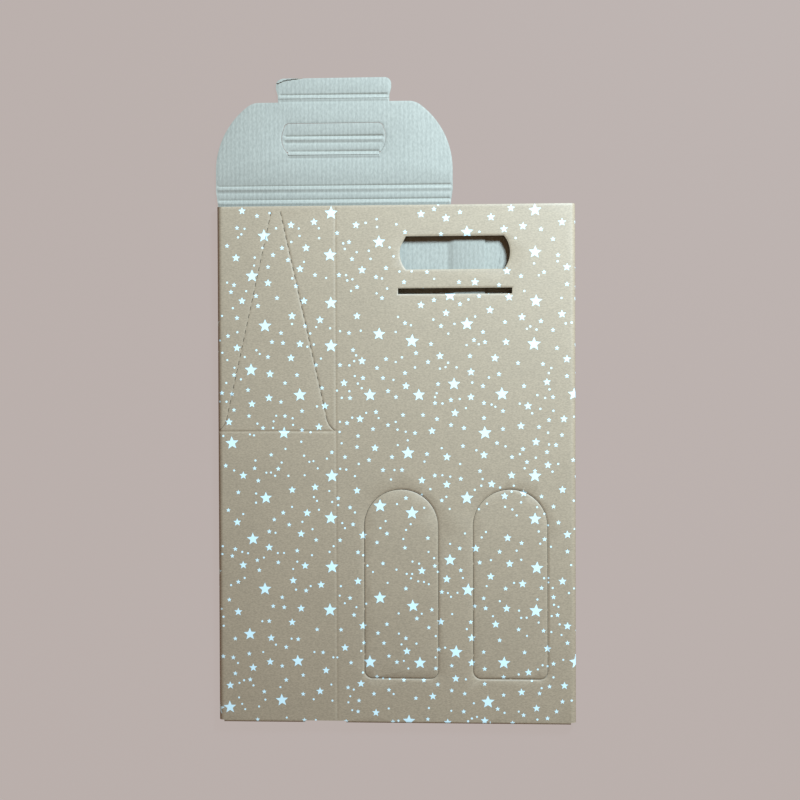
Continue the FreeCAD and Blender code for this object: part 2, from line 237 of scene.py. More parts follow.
class Crease:
    """A pressed line of the board, across v or along v, that fades at both its ends.

    The printed face gets a groove. The plain face gets a bead, with a valley on both sides.
    """

    FADE = 0.6
    REACH = 4.2
    VALLEY_AT = 2.6

    def __init__(self, at, low, high, along="s", bead=0.5, groove=0.5, valley=0.62):
        self.at = at
        self.low = low
        self.high = high
        self.along = along
        self.bead = bead
        self.groove = groove
        self.valley = valley

    def relief(self, s, v):
        """How far the printed and the plain face move towards the printed side."""
        across, run = (v, s) if self.along == "s" else (s, v)
        d = across - self.at
        fade = (np.clip((run - self.low + self.FADE) / 1.6, 0, 1) *
                np.clip((self.high - run + self.FADE) / 1.6, 0, 1))
        outer = -self.groove * bump(d, 0.85)
        deeper = np.where(d > 0, 1.35, 0.6)
        valley = self.valley * deeper * bump(np.abs(d) - self.VALLEY_AT, 0.8)
        inner = -self.bead * bump(d, 0.95) + valley
        return outer * fade, inner * fade

    def lines(self):
        """The lines along which the sheet is cut into triangles to show the relief."""
        low, high = self.low - self.FADE, self.high + self.FADE
        steps = (-self.REACH, -3.3, -self.VALLEY_AT, -1.9, -1.2, -0.7, -0.3,
                 0.3, 0.7, 1.2, 1.9, self.VALLEY_AT, 3.3, self.REACH)
        found = []
        for step in steps:
            found.append(((low, self.at + step), (high, self.at + step)))
        for end in (low, self.low + 1, self.high - 1, high):
            found.append(((end, self.at - self.REACH), (end, self.at + self.REACH)))
        if self.along == "v":
            found = [((b, a), (d, c)) for (a, b), (c, d) in found]
        return found


class Rim:
    """The crushed edge of a cut: both faces sink towards each other close to a closed line.

    Of the sides that get lines of their own, 1 is outside the loop and -1 is inside it.
    """

    FAR = 9.0

    def __init__(self, loop, sides=(1,), depth=0.38, width=0.75):
        self.loop = loop
        self.sides = sides
        self.depth = depth
        self.width = width

    def relief(self, s, v):
        """How far the printed and the plain face move towards the printed side."""
        near = np.full(len(s), self.FAR)
        corners = np.array(self.loop)
        low, high = corners.min(0) - 3, corners.max(0) + 3
        some = np.nonzero((s > low[0]) & (s < high[0]) & (v > low[1]) & (v < high[1]))[0]
        points = np.stack([s[some], v[some]], 1)
        found = np.full(len(points), self.FAR)
        for start, end in zip(corners, np.roll(corners, -1, axis=0)):
            run = end - start
            share = np.clip(((points - start) @ run) / max(run @ run, 1e-9), 0, 1)
            gap = np.linalg.norm(points - start - share[:, None] * run, axis=1)
            found = np.minimum(found, gap)
        near[some] = found
        drop = self.depth * bump(near, self.width)
        return -drop, drop

    def lines(self):
        """Closed lines that follow the loop at three distances."""
        corners = np.array(self.loop)
        after = np.roll(corners, -1, axis=0) - corners
        after /= np.maximum(np.linalg.norm(after, axis=1), 1e-9)[:, None]
        before = np.roll(after, 1, axis=0)
        mean = after + before
        mean /= np.maximum(np.linalg.norm(mean, axis=1), 1e-9)[:, None]
        normal = np.stack([mean[:, 1], -mean[:, 0]], 1)
        turned_in = np.maximum((mean * after).sum(1), 0.5)
        area = (corners[:, 0] * np.roll(corners[:, 1], -1) -
                np.roll(corners[:, 0], -1) * corners[:, 1]).sum()
        outward = 1 if area > 0 else -1
        found = []
        for side in self.sides:
            for step in (0.3, 0.75, 1.4):
                ring = corners + normal * (outward * side * step / turned_in)[:, None]
                points = [tuple(p) for p in ring]
                found += list(zip(points, points[1:] + points[:1]))
        return found


def arc_points(cx, cy, radius, start, end, step=6):
    """Points on an arc, angles in degrees, both ends included."""
    count = max(2, int(abs(end - start) / step) + 1)
    angles = [math.radians(start + (end - start) * n / (count - 1)) for n in range(count)]
    return [(cx + radius * math.cos(a), cy + radius * math.sin(a)) for a in angles]


def lens_side(low, high, half, bulge):
    """The bulging right end of a slot, from its lower to its upper corner."""
    tall = (high - low) / 2
    radius = (tall ** 2 + bulge ** 2) / (2 * bulge)
    reach = math.degrees(math.asin(tall / radius))
    return arc_points(half + bulge - radius, (low + high) / 2, radius, -reach, reach, 5)


def mirrored(points, middle):
    """A closed outline from its right half, given from bottom to top about x = 0."""
    right = [(middle + x, y) for x, y in points]
    left = [(middle - x, y) for x, y in reversed(points)]
    return right + left


def rectangle(left, low, right, high):
    """The four corners of an upright rectangle, anticlockwise."""
    return [(left, low), (right, low), (right, high), (left, high)]


def inside(points, outline):
    """Which points lie inside a closed outline."""
    px, py = points[:, 0], points[:, 1]
    result = np.zeros(len(points), bool)
    corners = np.array(outline)
    low, high = corners.min(0), corners.max(0)
    near = np.nonzero((px >= low[0]) & (px <= high[0]) & (py >= low[1]) & (py <= high[1]))[0]
    if len(near) == 0:
        return result
    qx, qy = px[near], py[near]
    hit = np.zeros(len(near), bool)
    for (x1, y1), (x2, y2) in zip(corners, np.roll(corners, -1, axis=0)):
        if y1 == y2:
            continue
        crossing = (y1 > qy) != (y2 > qy)
        hit ^= crossing & (qx < (x2 - x1) * (qy - y1) / (y2 - y1) + x1)
    result[near] = hit
    return result


def triangulate(solid, holes, islands, lines, shapes):
    """Cut the sheet into triangles. Gives points, triangles and which hold a printed shape."""
    points = []
    edges = []
    for loop in solid + holes + islands + shapes:
        base = len(points)
        points += loop
        edges += [(base + n, base + (n + 1) % len(loop)) for n in range(len(loop))]
    for start, end in lines:
        edges.append((len(points), len(points) + 1))
        points += [start, end]
    found = delaunay_2d_cdt([Vector(p) for p in points], edges, [], 0, 1e-4)
    flat = np.array([(p.x, p.y) for p in found[0]])
    tris = np.array([t for t in found[2]])
    centres = flat[tris].mean(1)
    keep = np.zeros(len(tris), bool)
    for loop in solid:
        keep |= inside(centres, loop)
    for loop in holes:
        keep &= ~inside(centres, loop)
    for loop in islands:
        keep |= inside(centres, loop)
    tris = tris[keep]
    centres = centres[keep]
    order = np.argsort(centres[:, 0])
    sorted_x = centres[order, 0]
    ink = np.zeros(len(tris), bool)
    for loop in shapes:
        xs = [p[0] for p in loop]
        first, last = np.searchsorted(sorted_x, (min(xs), max(xs)))
        some = order[first:last]
        ink[some] |= inside(centres[some], loop)
    used, tris = np.unique(tris, return_inverse=True)
    return flat[used], tris.reshape(-1, 3), ink


class Layer:
    """A mesh in the making: vertices, faces, materials and the sheet's own coordinates."""

    def __init__(self):
        self.places = []
        self.sheet = []
        self.faces = []
        self.slots = []
        self.count = 0

    def shell(self, flat, tris, ink, levels, place, relief, slots):
        """A closed skin between two levels of the sheet. slots: face, ink, back, edge."""
        n = len(flat)
        for level in levels:
            w = level(flat) if callable(level) else np.full(n, float(level))
            outer, inner = relief(flat[:, 0], flat[:, 1])
            w = w + inner + (outer - inner) * (w / BOARD + 0.5)
            x, y, z = place(flat[:, 0].copy(), flat[:, 1].copy(), w)
            self.places.append(np.stack([x, y, z], 1))
            self.sheet.append(np.stack([flat[:, 0], flat[:, 1], w], 1))
        a = self.count
        b = a + n
        self.count += 2 * n
        self.faces += (tris + a).tolist()
        self.slots += np.where(ink, slots[1], slots[0]).tolist()
        self.faces += (tris[:, ::-1] + b).tolist()
        self.slots += [slots[2]] * len(tris)
        sides = np.concatenate([tris[:, [0, 1]], tris[:, [1, 2]], tris[:, [2, 0]]])
        key = np.sort(sides, 1)
        _, where, times = np.unique(key, axis=0, return_index=True, return_counts=True)
        rim = sides[where[times == 1]]
        for p, q in rim:
            self.faces.append([a + int(q), a + int(p), b + int(p), b + int(q)])
        self.slots += [slots[3]] * len(rim)

    def build(self, name, materials, sharp=35):
        """The object of these faces, in the frame. Edges sharper than sharp stay crisp."""
        points = np.concatenate(self.places) * MM + np.array(ORIGIN)
        mesh = bpy.data.meshes.new(name)
        mesh.from_pydata(points.tolist(), [], self.faces)
        mesh.polygons.foreach_set("material_index", self.slots)
        for material in materials:
            mesh.materials.append(material)
        sheet = mesh.attributes.new("sheet", "FLOAT_VECTOR", "POINT")
        sheet.data.foreach_set("vector", np.concatenate(self.sheet).astype(np.float32).ravel())
        mesh.validate()
        mesh.shade_smooth()
        mesh.set_sharp_from_angle(angle=math.radians(sharp))
        obj = bpy.data.objects.new(name, mesh)
        bpy.context.scene.collection.objects.link(obj)
        return obj


def wave(flat):
    """The fluted middle sheet's level: a wave across the board."""
    reach = BOARD / 2 - LINER - MEDIUM / 2 - 0.02
    return reach * np.cos(2 * math.pi * flat[:, 0] / FLUTE)


def no_relief(s, v):
    """Both faces where they are without any pressed line."""
    return np.zeros_like(s), np.zeros_like(s)


def make_board(name, solid, holes=(), islands=(), creases=(), lines=(), stars=(),
               place=lid_place, sink=None, nodes=(), body=None, blend=None, torn=()):
    """One piece of board as three sheets: printed liner, flutes and plain liner.

    Islands stay within holes. Where the board is torn, only the printed liner is left.
    """
    def relief(s, v):
        """All creases, rims and sunk windows of this piece together."""
        outer, inner = no_relief(s, v)
        for crease in creases:
            more_outer, more_inner = crease.relief(s, v)
            outer = outer + more_outer
            inner = inner + more_inner
        if sink:
            drop = sink(s, v)
            outer = outer - drop
            inner = inner - drop
        return outer, inner

    solid, holes, islands = list(solid), list(holes), list(islands)
    all_lines = list(lines)
    for crease in creases:
        all_lines += crease.lines()
    half = BOARD / 2
    made = []

    printed = Layer()
    flat, tris, ink = triangulate(solid, holes, islands, all_lines, list(stars))
    printed.shell(flat, tris[:, ::-1], ink, (half, half - LINER), place, relief, (0, 1, 2, 2))
    made.append(printed.build(name + "_print", [KRAFT, INK, EDGE]))

    plain = Layer()
    flat, tris, ink = triangulate(solid, holes + list(torn), islands, all_lines, [])
    plain.shell(flat, tris, ink, (-half, -half + LINER), place, relief, (0, 0, 1, 1))
    made.append(plain.build(name + "_liner", [GREY, EDGE]))

    corners = [p for loop in solid for p in loop]
    left, right = min(p[0] for p in corners), max(p[0] for p in corners)
    low, high = min(p[1] for p in corners) - 1, max(p[1] for p in corners) + 1
    step = FLUTE / 6
    flutes = [((n * step, low), (n * step, high))
              for n in range(math.ceil(left / step), math.floor(right / step) + 1)]
    fluted = Layer()
    across = [line for line in all_lines if abs(line[0][1] - line[1][1]) < 1e-6]
    flat, tris, ink = triangulate(solid, holes + list(torn), islands, flutes + across, [])
    levels = (lambda f: wave(f) + MEDIUM / 2, lambda f: wave(f) - MEDIUM / 2)
    fluted.shell(flat, tris[:, ::-1], ink, levels, place, relief, (0, 0, 0, 0))
    made.append(fluted.build(name + "_flutes", [EDGE], sharp=60))

    for obj in made:
        if blend:
            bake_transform(obj)
        else:
            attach(obj, body)
        if nodes:
            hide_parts(*nodes)


def shade(name, build):
    """A material that the function build gives its nodes to."""
    material = bpy.data.materials.new(name)
    material.use_nodes = True
    tree = material.node_tree
    tree.nodes.clear()
    out = tree.nodes.new("ShaderNodeOutputMaterial")
    surface = tree.nodes.new("ShaderNodeBsdfPrincipled")
    tree.links.new(surface.outputs[0], out.inputs[0])
    surface.inputs["Specular IOR Level"].default_value = 0.25
    build(tree, surface)
    return material


def linear(red, green, blue):
    """A colour given as it shows on screen, from 0 to 255, turned into light."""
    return tuple((c / 255 / 12.92) if c <= 10 else ((c / 255 + 0.055) / 1.055) ** 2.4
                 for c in (red, green, blue)) + (1,)


def sheet_place(tree, scale):
    """The sheet's own millimetres, scaled, as the place that a texture reads."""
    source = tree.nodes.new("ShaderNodeAttribute")
    source.attribute_name = "sheet"
    scaled = tree.nodes.new("ShaderNodeVectorMath")
    scaled.operation = "MULTIPLY"
    scaled.inputs[1].default_value = scale
    tree.links.new(source.outputs["Vector"], scaled.inputs[0])
    return scaled.outputs[0]


def noise(tree, scale, detail=3, roughness=0.6):
    """Noise over the sheet, with scale in waves per millimetre along each axis."""
    node = tree.nodes.new("ShaderNodeTexNoise")
    node.inputs["Scale"].default_value = 1
    node.inputs["Detail"].default_value = detail
    node.inputs["Roughness"].default_value = roughness
    tree.links.new(sheet_place(tree, scale), node.inputs["Vector"])
    return node.outputs[0]


def spread(tree, value, low, high, to_low, to_high):
    """A value between low and high, spread from to_low to to_high."""
    node = tree.nodes.new("ShaderNodeMapRange")
    for socket, number in zip(node.inputs[1:5], (low, high, to_low, to_high)):
        socket.default_value = number
    tree.links.new(value, node.inputs[0])
    return node.outputs[0]


def times(tree, first, second):
    """The product of two values."""
    node = tree.nodes.new("ShaderNodeMath")
    node.operation = "MULTIPLY"
    tree.links.new(first, node.inputs[0])
    tree.links.new(second, node.inputs[1])
    return node.outputs[0]


def tinted(tree, surface, colour, factor):
    """The base colour, made lighter or darker by a factor round one."""
    node = tree.nodes.new("ShaderNodeVectorMath")
    node.operation = "SCALE"
    node.inputs[0].default_value = colour[:3]
    tree.links.new(factor, node.inputs["Scale"])
    tree.links.new(node.outputs[0], surface.inputs["Base Color"])


def bumped(tree, surface, height, strength, distance):
    """A fine unevenness of the surface, distance in metres."""
    node = tree.nodes.new("ShaderNodeBump")
    node.inputs["Strength"].default_value = strength
    node.inputs["Distance"].default_value = distance
    tree.links.new(height, node.inputs["Height"])
    tree.links.new(node.outputs[0], surface.inputs["Normal"])


def washboard(tree):
    """A soft wave across the sheet where the liner sinks between the flutes."""
    node = tree.nodes.new("ShaderNodeTexWave")
    node.inputs["Scale"].default_value = 1
    node.inputs["Distortion"].default_value = 0.6
    node.inputs["Detail Scale"].default_value = 0.3
    # At this scale Blender's wave repeats every 2 pi / 20 of a unit, here every flute.
    waves = 20
    tree.links.new(sheet_place(tree, (2 * math.pi / waves / FLUTE, 0.02, 0)),
                   node.inputs["Vector"])
    return node.outputs["Fac"]


def kraft(tree, surface):
    """Brown liner: fine fibres, faint clouds and a few dark specks."""
    fibre = spread(tree, noise(tree, (0.6, 1.2, 1), 5), 0.36, 0.64, 0.88, 1.12)
    cloud = spread(tree, noise(tree, (0.02, 0.03, 1), 2), 0.3, 0.7, 0.975, 1.025)
    specks = spread(tree, noise(tree, (1.6, 1.9, 1), 1), 0.28, 0.36, 0.86, 1)
    tinted(tree, surface, KRAFT_COLOUR, times(tree, times(tree, fibre, cloud), specks))
    bumped(tree, surface, noise(tree, (0.7, 2, 1), 4), 0.25, 0.0002)
    surface.inputs["Roughness"].default_value = 0.58
    surface.inputs["Specular IOR Level"].default_value = 0.65


def ink(tree, surface):
    """White ink, a little uneven where the fibres show through."""
    mottle = spread(tree, noise(tree, (0.9, 2.6, 1), 5), 0.3, 0.7, 0.96, 1.03)
    tinted(tree, surface, INK_COLOUR, mottle)
    surface.inputs["Roughness"].default_value = 0.55


def edge(tree, surface):
    """The darker fibres of the flutes and of cut edges, darker still as painted shade of the cut
    walls and the tab's crack.
    """
    fibre = spread(tree, noise(tree, (2, 2, 2), 4), 0.3, 0.7, 0.9, 1.08)
    tinted(tree, surface, CORE_AND_SHADE_COLOUR, fibre)
    surface.inputs["Roughness"].default_value = 0.85


def grey(tree, surface):
    """Grey liner, with faint stripes along the flutes: painted shade of the washboard, lighter
    and darker in step with its bump.
    """
    # The stripes are painted shade of the washboard's waves.
    washboard_shade = spread(tree, washboard(tree), 0, 1, 0.97, 1.03)
    fibre = spread(tree, noise(tree, (1.0, 0.4, 1), 5), 0.36, 0.64, 0.9, 1.1)
    cloud = spread(tree, noise(tree, (0.025, 0.02, 1), 2), 0.3, 0.7, 0.98, 1.02)
    tinted(tree, surface, GREY_COLOUR, times(tree, times(tree, washboard_shade, fibre), cloud))
    bumped(tree, surface, washboard(tree), 0.5, 0.0001)
    surface.inputs["Roughness"].default_value = 0.8


KRAFT_COLOUR = (0.385, 0.290, 0.188, 1)
INK_COLOUR = (0.72, 0.92, 0.94, 1)
# The core's colour is partly its own darker fibre and partly painted shade, so that cut walls
# and the torn tab's crack show as shadowed lines.
CORE_AND_SHADE_COLOUR = (0.26, 0.215, 0.15, 1)
GREY_COLOUR = (0.352, 0.335, 0.278, 1)
KRAFT = shade("kraft_liner", kraft)
INK = shade("white_ink", ink)
EDGE = shade("kraft_core_and_shade", edge)
GREY = shade("grey_liner", grey)

# The camera, from the photo's own perspective: a metre above, almost straight down.
camera_data = bpy.data.cameras.new("camera")
camera = bpy.data.objects.new("camera", camera_data)
bpy.context.scene.collection.objects.link(camera)
camera.rotation_euler = [math.radians(a) for a in (-0.74, 2.99, -0.20)]
bpy.context.view_layer.update()
turn = camera.matrix_world.to_3x3()
camera.location = Vector((0.00382, -0.00003, 0)) + turn @ Vector((0, 0, 1))
FOCAL = 1318.8
PICTURE = 800
SENSOR = 36
camera_data.sensor_width = SENSOR
camera_data.lens = SENSOR * FOCAL / PICTURE
bpy.context.scene.camera = camera


def under(px, py):
    """The place on the upper layer, in sheet millimetres, seen at a point of the photo."""
    half = PICTURE / 2
    ray = turn @ Vector(((px - half) / FOCAL, (half - py) / FOCAL, -1))
    reach = (camera.location.z - STACK * MM) / -ray.z
    spot = (camera.location + ray * reach - ORIGIN) / MM
    return top_s(spot.x), spot.y


# Printed stars of the visible side, read from enlarged pieces of the photo, at their
# places in its pixels. The large ones are listed all the way down.
LARGE = [
    (264, 236), (252, 276), (265, 326), (251, 370), (300, 395), (284, 433), (232, 443),
    (331, 213), (330, 255), (331, 303), (331, 346), (379, 242), (379, 334), (370, 395),
    (412, 341), (419, 395), (408, 453), (450, 295), (454, 384), (467, 232), (467, 324),
    (485, 433), (502, 394), (535, 210), (535, 252), (536, 301), (534, 344), (574, 394),
    (266, 498), (253, 539), (265, 589), (250, 634), (298, 661), (282, 700), (230, 707),
    (332, 476), (331, 518), (332, 567), (330, 610), (380, 506), (380, 598), (370, 662),
    (412, 513), (413, 606), (420, 663), (409, 721), (450, 560), (456, 652), (467, 498),
    (468, 590), (488, 702), (504, 663), (535, 476), (535, 519), (537, 568), (536, 611),
    (576, 662),
]
# Of the middle and small ones the upper half. The print repeats them REPEAT mm further down.
MIDDLE = [
    (242, 211), (314, 222), (291, 225), (306, 248), (236, 258), (300, 269), (268, 283),
    (242, 301), (304, 301), (292, 316), (320, 320), (237, 348), (300, 344), (291, 358),
    (270, 374), (269, 398), (252, 404), (229, 422), (325, 406), (319, 427), (356, 225),
    (421, 214), (446, 218), (362, 270), (357, 316), (421, 305), (446, 313), (491, 217),
    (504, 229), (523, 226), (562, 222), (475, 282), (507, 271), (567, 267), (490, 310),
    (509, 297), (522, 317), (562, 314), (511, 208), (362, 361), (344, 383), (406, 386),
    (360, 419), (375, 448), (432, 431), (455, 413), (447, 457), (440, 356), (506, 342),
    (495, 358), (471, 372), (567, 359), (547, 382), (471, 397), (528, 406), (564, 419),
    (521, 426), (536, 442), (484, 455), (548, 465),
]
SMALL = [
    (237, 228), (257, 216), (227, 246), (273, 255), (282, 248), (288, 260), (268, 267),
    (234, 285), (231, 292), (256, 296), (258, 306), (277, 298), (296, 286), (315, 275),
    (237, 318), (281, 333), (272, 342), (283, 343), (228, 336), (305, 326), (268, 357),
    (297, 375), (285, 383), (248, 390), (232, 394), (222, 393), (234, 375), (316, 365),
    (322, 388), (281, 402), (302, 411), (234, 410), (249, 416), (285, 416), (263, 428),
    (302, 430), (339, 275), (337, 233), (340, 365), (349, 242), (405, 232), (352, 259),
    (386, 268), (376, 277), (357, 287), (404, 282), (427, 272), (382, 298), (441, 234),
    (459, 282), (434, 300), (405, 323), (441, 326), (349, 333), (434, 209), (460, 212),
    (460, 304), (541, 229), (553, 239), (558, 255), (544, 272), (521, 276), (567, 284),
    (499, 285), (479, 296), (505, 322), (541, 321), (553, 330), (483, 332), (353, 350),
    (386, 359), (377, 368), (363, 378), (383, 378), (388, 391), (350, 398), (396, 397),
    (416, 353), (431, 344), (428, 362), (405, 373), (438, 384), (451, 400), (435, 403),
    (376, 412), (403, 415), (423, 415), (437, 419), (347, 423), (388, 425), (373, 429),
    (451, 425), (415, 433), (358, 436), (357, 447), (427, 454), (345, 457), (392, 457),
    (369, 460), (383, 470), (402, 470), (474, 340), (485, 342), (557, 348), (470, 356),
    (518, 363), (543, 364), (499, 374), (567, 376), (483, 386), (524, 386), (553, 397),
    (484, 403), (503, 411), (484, 418), (549, 420), (464, 428), (503, 429), (539, 427),
    (562, 435), (497, 443), (463, 446), (556, 445), (523, 449), (547, 452), (512, 457),
    (527, 462), (573, 460), (480, 471), (535, 471),
]
REPEAT = 200
LARGE_STAR, MIDDLE_STAR, SMALL_STAR, DOT = 9.4, 5.8, 3.5, 1.7
# Across, how many on a square of SQUARE mm, and how far apart two of the same size lie.
STAR_SIZES = ((LARGE_STAR, 15, 28), (MIDDLE_STAR, 34, 11), (SMALL_STAR, 76, 7), (DOT, 110, 3))
SQUARE = 175
CELL = 20


def star(cx, cy, across, turn_by=0):
    """A five-pointed star, or a dot if it is small."""
    if across < 3:
        return [(cx + across / 2 * math.cos(n * math.pi / 3),
                 cy + across / 2 * math.sin(n * math.pi / 3)) for n in range(6)]
    outer = across / 1.9
    found = []
    for n in range(10):
        radius = outer if n % 2 == 0 else outer * 0.44
        angle = math.radians(90 + turn_by) + n * math.pi / 5
        found.append((cx + radius * math.cos(angle), cy + radius * math.sin(angle)))
    return found


def scatter(low, high, bottom, top, seed, kept=(), bare=None):
    """Stars of four sizes over a stretch of the sheet, none touching another.

    kept holds the stars that have a place already, all the large ones among them. Where there
    is a function bare, stars larger than a dot join them only at places where it holds.
    """
    draw = random.Random(seed)
    cells = {}
    found = []

    def add(spot):
        """Keep a star, and note the cell that it lies in."""
        found.append(spot)
        cells.setdefault((int(spot[0] // CELL), int(spot[1] // CELL)), []).append(spot)

    for spot in kept:
        add(spot)
    for across, share, spacing in STAR_SIZES:
        if kept and across == LARGE_STAR:
            continue
        want = int((high - low) * (top - bottom) / SQUARE ** 2 * share)
        for _ in range(want):
            for _ in range(12):
                x, y = draw.uniform(low, high), draw.uniform(bottom, top)
                if bare and across > DOT and not bare(x, y):
                    break
                column, row = int(x // CELL), int(y // CELL)
                near = [other for a in (-1, 0, 1) for b in (-1, 0, 1)
                        for other in cells.get((column + a, row + b), ())]
                if all((x - ox) ** 2 + (y - oy) ** 2 >
                       (spacing if size == across else (across + size) * 0.62 + 1) ** 2
                       for ox, oy, size in near):
                    add((x, y, across))
                    break
    return [star(x, y, across * draw.uniform(0.94, 1.06), draw.uniform(-4, 4))
            for x, y, across in found]


def strip_lines(values, low, high, along="v"):
    """Straight lines to draw in the sheet, all running the same way."""
    if along == "v":
        return [((value, low), (value, high)) for value in values]
    return [((low, value), (high, value)) for value in values]


# The tube: one sheet from the glued edge of the right side panel round to the lap.
flap = -HALF_TURN
side_end = flap - SIDE_FLAP
main_end = flap - MAIN_FLAP
foot = [
    (0, 0), (right_s(SIDE_FLAP_ROOT), 0), (right_s(SIDE_FLAP_ROOT), flap),
    (right_s(SIDE_FLAP_TIP), side_end), (right_s(SIDE_FLAP_CORNER), side_end),
    (S_RIGHT, flap), (S_RIGHT, 0), (S_TOP, 0), (S_TOP, main_end + FLAP_CUT),
    (S_TOP + FLAP_CUT, main_end), (top_s(MAIN_FLAP_TIP), main_end),
    (top_s(-MAIN_FLAP_ROOT), flap), (top_s(-MAIN_FLAP_ROOT), 0),
    (top_s(-SIDE_FLAP_ROOT), 0), (top_s(-SIDE_FLAP_ROOT), flap),
    (top_s(-SIDE_FLAP_TIP), side_end), (top_s(-SIDE_FLAP_CORNER), side_end),
    (S_LEFT, flap), (S_LEFT, 0), (S_BACK, 0), (S_BACK, main_end + FLAP_CUT),
    (S_BACK + FLAP_CUT, main_end), (back_s(-MAIN_FLAP_TIP), main_end),
    (back_s(MAIN_FLAP_ROOT), flap), (back_s(MAIN_FLAP_ROOT), 0), (S_END, 0),
]
head = [(S_END, TUBE), (S_JOG, TUBE), (S_JOG, ROOT - CREASE_HALF),
        (S_BACK, ROOT - CREASE_HALF), (S_BACK, TUBE), (0, TUBE)]


def placed(points, to_s):
    """Points of a panel, given across and up, at their places on the sheet."""
    return [(to_s(x), y) for x, y in points]


def hand_hole(middle, to_s, chamfer=False):
    """The hand hole. The front one has its upper left corner cut straight."""
    right = [(HOLE_HALF, HOLE_LOW)]
    right += lens_side(HOLE_LOW, HOLE_HIGH, HOLE_HALF, HOLE_BULGE)[1:-1]
    right += [(HOLE_HALF, HOLE_HIGH)]
    loop = mirrored(right, middle)
    if chamfer:
        loop = [(x, y) for x, y in loop
                if not (x < middle and HOLE_HIGH - HOLE_CHAMFER < y < HOLE_HIGH - 0.1)]
    return placed(loop, to_s)


def window(middle, inset):
    """An arched window's outline, drawn in by inset."""
    half = WINDOW_HALF - inset
    low, high = WINDOW_LOW + inset, WINDOW_TOP - inset
    corner = WINDOW_CORNER - inset
    right = arc_points(half - corner, low + corner, corner, -90, 0, 15)
    right += arc_points(0, high - half, half, 0, 88, 6)
    return placed(mirrored(right, middle), top_s)


def band(points, width):
    """A thin closed strip along a line of points."""
    line = np.array(points, float)
    step = np.gradient(line, axis=0)
    step /= np.linalg.norm(step, axis=1)[:, None]
    side = np.stack([-step[:, 1], step[:, 0]], 1) * width / 2
    return [tuple(p) for p in line + side] + [tuple(p) for p in (line - side)[::-1]]


GUSSET_FOOT = [(37.4, 231.5), (38.2, 227.6), (39.8, 224), (42, 221.2), (44.2, 219.6)]


def gusset_rules(middle, to_s):
    """The lines that the cutting rule pressed along the gusset's dashed sides."""
    points = [(DASH_TOP_HALF, DASHES_TOP)] + GUSSET_FOOT
    return [Rim(band([(to_s(middle + lean * x), y) for x, y in points], 0.4),
                depth=0.2 + 0.07 * lean, width=0.65) for lean in (-1, 1)]


def gusset_slits(middle, to_s, width):
    """The dashed cuts up both sides of the gusset and the curved cuts at its foot."""
    found = []
    length = math.hypot(DASHES_RISE, DASHES_RUN)
    for lean in (-1, 1):
        for n in range(DASH_COUNT):
            start, end = n * DASH_STEP / length, (n * DASH_STEP + DASH) / length
            ends = [(to_s(middle + lean * (DASH_TOP_HALF + DASHES_RUN * t)),
                     DASHES_TOP - DASHES_RISE * t) for t in (start, end)]
            found.append(band(ends, width))
        found.append(band([(to_s(middle + lean * x), y) for x, y in GUSSET_FOOT], width * 0.8))
    return found


windows, panes, pane_bounds = [], [], []
for middle in WINDOW_MIDDLES:
    windows.append(window(middle, 0))
    panes.append(window(middle, CUT))
    pane_bounds.append(window(middle, CUT / 2))
    for share in (0.15, 0.45, 0.75):
        y = WINDOW_LOW + share * (WINDOW_TALL - WINDOW_HALF)
        for side in (-1, 1):
            x = middle + side * WINDOW_HALF
            panes.append(placed(rectangle(x - NICK / 2, y, x + NICK / 2, y + NICK), top_s))
    for y in (WINDOW_LOW, WINDOW_TOP):
        panes.append(placed(rectangle(middle - NICK / 2, y - NICK / 2,
                                      middle + NICK / 2, y + NICK / 2), top_s))

slot = placed(rectangle(SLOT_LEFT, SLOT_LOW, SLOT_RIGHT, SLOT_HIGH), top_s)
holes = [hand_hole(FRONT_MIDDLE, top_s, True), hand_hole(-FRONT_MIDDLE, back_s), slot] + windows
holes += gusset_slits(-SIDE_MIDDLE, top_s, 0.4) + gusset_slits(SIDE_MIDDLE, right_s, 0.12)


def pane_sink(s, v):
    """The windows lie a little below the panel, most of all under their arches."""
    points = np.stack([s, v], 1)
    result = np.zeros(len(s))
    for loop in pane_bounds:
        within = inside(points, loop)
        arch = np.clip((v[within] - WINDOW_TOP + ARCH_DIP) / ARCH_DIP, 0, 1)
        result[within] = WINDOW_SINK + ARCH_SINK * arch ** 2
    return result


tube_creases = [
    Crease(GUSSET, top_s(-SEAM - 1), S_LEFT + 3, bead=0.3, groove=0.36, valley=0),
    Crease(GUSSET, 3, S_RIGHT, bead=0.3, groove=0.36, valley=0),
    Crease(top_s(-SEAM), 1, TUBE - 1, along="v", bead=0.2, groove=0.22, valley=0),
    Crease(ROOT, S_BACK, S_JOG),
    Crease(TUBE + 0.1, 0, S_LEFT, bead=-0.2, groove=0.3, valley=0),
    Crease(-0.2, S_JOG, S_END, bead=-0.2, groove=0.3, valley=0),
    Rim(holes[0], (1,), 0.5, 0.8), Rim(holes[1]), Rim(slot, (1,), 0.48, 0.75),
    Rim(windows[0], (1, -1), 0.58, 0.9), Rim(windows[1], (1, -1), 0.58, 0.9),
]
tube_creases += gusset_rules(-SIDE_MIDDLE, top_s) + gusset_rules(SIDE_MIDDLE, right_s)
folds = [start + ARC * n / FOLD_STEPS for start in (S_RIGHT, S_LEFT)
         for n in range(FOLD_STEPS + 1)]
lines = strip_lines(folds, -1, TUBE + 1)
lines += strip_lines([S_JOG, S_JOG + JOG / 2, S_LAP], -1, ROOT)
for low, high in ((right_s(SIDE_FLAP_ROOT), S_RIGHT), (S_TOP, top_s(-MAIN_FLAP_ROOT)),
                  (top_s(-SIDE_FLAP_ROOT), S_LEFT), (S_BACK, back_s(MAIN_FLAP_ROOT))):
    lines += strip_lines([-HALF_TURN * n / TURN_STEPS for n in range(TURN_STEPS + 1)],
                         low - 0.1, high + 0.1, "s")

seen = [under(px, py) + (LARGE_STAR,) for px, py in LARGE]
for places, across in ((MIDDLE, MIDDLE_STAR), (SMALL, SMALL_STAR)):
    for px, py in places:
        x, y = under(px, py)
        seen.append((x, y, across))
        if y - REPEAT > -3:
            seen.append((x, y - REPEAT, across))


